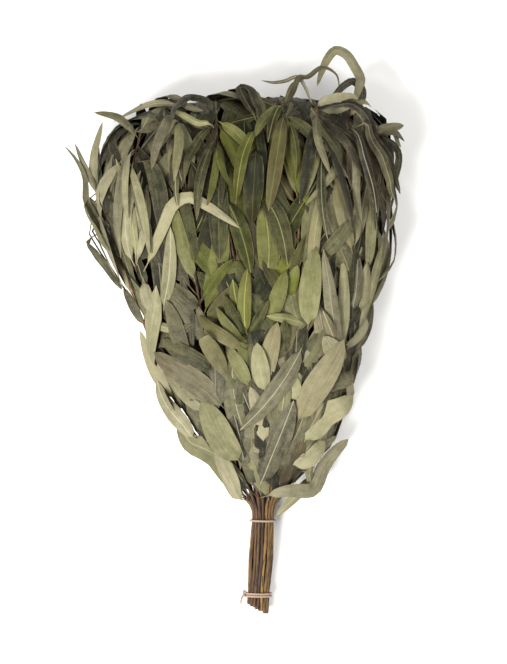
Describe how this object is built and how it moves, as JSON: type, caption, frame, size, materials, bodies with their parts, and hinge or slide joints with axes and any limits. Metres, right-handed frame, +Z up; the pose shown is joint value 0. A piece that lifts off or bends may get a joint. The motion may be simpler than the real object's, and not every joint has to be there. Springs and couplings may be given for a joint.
{
  "type": "eucalyptus sauna whisk",
  "caption": "Dried bunch of leafy eucalyptus branches, tied with twine at the handle, lying flat, for use in a sauna.",
  "frame": {"origin": "under the middle of the whisk's bounding box, on the surface that it lies on", "axes": "+Y along the whisk from the cut ends to the leaf tips, +X to the right as seen from above with the tips away, +Z up"},
  "size_m": [0.3427, 0.5698, 0.124],
  "materials": {
    "olive_branch": "matt",
    "sage_branch": "matt",
    "twine": "matt"
  },
  "bodies": {
    "root": {"front_branch_1": "sage_branch", "front_branch_2": "sage_branch", "front_branch_3": "olive_branch", "front_branch_4": "olive_branch", "front_branch_5": "olive_branch", "front_branch_6": "olive_branch", "front_branch_7": "olive_branch", "front_branch_8": "sage_branch", "front_branch_9": "sage_branch", "back_branch_1": "sage_branch", "back_branch_2": "sage_branch", "back_branch_3": "sage_branch", "back_branch_4": "sage_branch", "back_branch_5": "sage_branch", "back_branch_6": "sage_branch", "back_branch_7": "sage_branch", "back_branch_8": "sage_branch", "back_branch_9": "sage_branch", "inner_branch_01": "olive_branch", "inner_branch_02": "olive_branch", "inner_branch_03": "olive_branch", "inner_branch_04": "olive_branch", "inner_branch_05": "olive_branch", "inner_branch_06": "olive_branch", "inner_branch_07": "olive_branch", "inner_branch_08": "olive_branch", "inner_branch_09": "olive_branch", "inner_branch_10": "olive_branch", "inner_branch_11": "olive_branch", "inner_branch_12": "olive_branch", "inner_branch_13": "olive_branch", "inner_branch_14": "olive_branch", "inner_branch_15": "olive_branch", "inner_branch_16": "olive_branch", "inner_branch_17": "olive_branch", "inner_branch_18": "olive_branch", "inner_branch_19": "olive_branch", "tie_upper": "twine", "tie_lower": "twine"}
  },
  "joints": []
}
